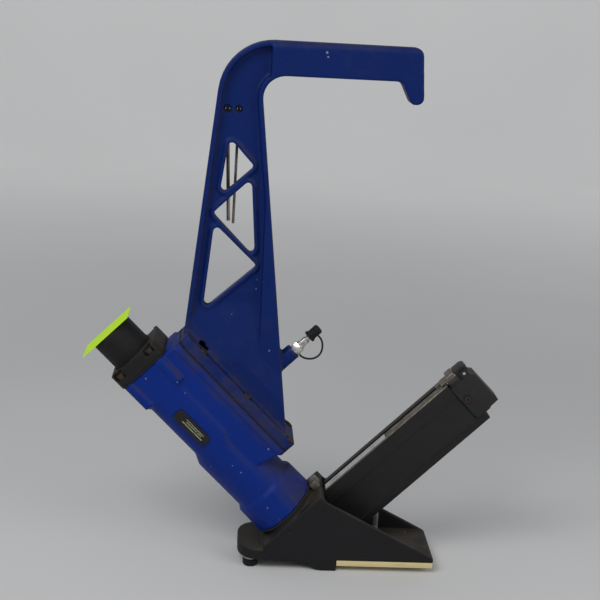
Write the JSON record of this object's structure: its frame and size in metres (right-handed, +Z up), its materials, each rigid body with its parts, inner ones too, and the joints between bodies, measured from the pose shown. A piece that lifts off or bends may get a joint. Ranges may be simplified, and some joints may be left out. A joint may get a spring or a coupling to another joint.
{
  "type": "flooring nailer",
  "caption": "Mallet-struck pneumatic flooring nailer: leaning cylinder, ribbed upright with long grip, angled cleat magazine and wedge foot.",
  "frame": {"origin": "middle of the tool's box in plan, at the floor it stands on", "axes": "+X from the striking end towards the rear of the magazine, +Y towards the far side, +Z up"},
  "size_m": [0.5122, 0.088, 0.6474],
  "materials": {
    "blue_casting": "satin",
    "black_casting": "matte",
    "black_anodised": "satin",
    "rubber": "matte",
    "bumper_rubber": "matte",
    "marker_tag": "matte",
    "steel": "satin",
    "dark_steel": "satin",
    "brown_steel": "satin",
    "plated_plug": "polished",
    "aluminium": "satin",
    "cream_plastic": "satin",
    "gasket": "matte",
    "paper_label": "satin",
    "black_plastic": "gloss"
  },
  "bodies": {
    "tool_body": {"foot_casting": "black_casting", "nose_bracket": "brown_steel", "driver_guide_front": "steel", "driver_guide_rear": "steel", "base_plate": "cream_plastic", "magazine_strut": "steel", "body_casting": "blue_casting", "foot_gasket": "gasket", "nameplate": "black_plastic", "cylinder_sleeve": "aluminium", "bumper": "bumper_rubber", "head_valve_spring": "steel", "valve_guide": "aluminium", "ram_spring": "steel", "head_cap": "black_casting", "ram_seal": "rubber", "head_gasket": "gasket", "handle_casting": "blue_casting", "handle_gasket": "gasket", "hex_key_large": "steel", "hex_key_large_bush": "rubber", "hex_key_small": "steel", "hex_key_small_bush": "rubber", "air_plug": "plated_plug", "dust_cap_tether": "rubber", "magazine_body": "black_anodised", "magazine_rail": "brown_steel", "magazine_label": "paper_label", "magazine_end_cap": "black_anodised", "end_cap_screw": "dark_steel", "latch_pin": "steel", "foot_bolt_1": "dark_steel", "head_bolt_1": "dark_steel", "foot_bolt_2": "dark_steel", "head_bolt_2": "dark_steel", "foot_bolt_3": "dark_steel", "head_bolt_3": "dark_steel", "foot_bolt_4": "dark_steel", "head_bolt_4": "dark_steel", "handle_bolt_1": "dark_steel", "handle_bolt_2": "dark_steel", "handle_bolt_3": "dark_steel", "handle_bolt_4": "dark_steel", "handle_bolt_5": "dark_steel", "handle_bolt_6": "dark_steel", "rubber_foot_near": "rubber", "base_plate_screw_near": "steel", "rubber_foot_far": "rubber", "base_plate_screw_far": "steel"},
    "striker": {"ram_cap": "rubber", "ram_stem": "steel", "strike_tag": "marker_tag"},
    "piston_set": {"piston": "aluminium", "piston_o_ring": "rubber", "driver_blade": "steel"},
    "valve": {"head_valve": "aluminium"},
    "pusher_set": {"pusher": "brown_steel", "pusher_spring": "steel"},
    "latch": {"pusher_latch": "black_anodised"},
    "inlet_cap": {"dust_cap": "rubber"}
  },
  "joints": [
    {"name": "ram_slide", "type": "slide", "parent": "tool_body", "child": "striker", "axis": [0.7071, 0, -0.7071], "range_m": [0, 0.008], "stiffness_N_per_m": 2000, "springref_m": -0.004, "deforming": ["ram_spring"]},
    {"name": "piston_slide", "type": "slide", "parent": "tool_body", "child": "piston_set", "axis": [0.7071, 0, -0.7071], "range_m": [0, 0.092]},
    {"name": "valve_slide", "type": "slide", "parent": "tool_body", "child": "valve", "axis": [-0.7071, 0, 0.7071], "range_m": [0, 0.006], "stiffness_N_per_m": 1500, "springref_m": -0.004, "deforming": ["head_valve_spring"]},
    {"name": "pusher_slide", "type": "slide", "parent": "tool_body", "child": "pusher_set", "axis": [-0.7071, 0, -0.7071], "range_m": [0, 0.188]},
    {"name": "latch_hinge", "type": "hinge", "parent": "tool_body", "child": "latch", "pos_m": [0.2108, 0, 0.25597], "axis": [0, 1, 0], "range_deg": [0, 15], "stiffness_Nm_per_rad": 0.3, "springref_deg": -11.46},
    {"name": "dust_cap_pull", "type": "slide", "parent": "tool_body", "child": "inlet_cap", "axis": [0.7071, 0, 0.7071], "range_m": [0, 0.016], "deforming": ["dust_cap_tether"]}
  ]
}
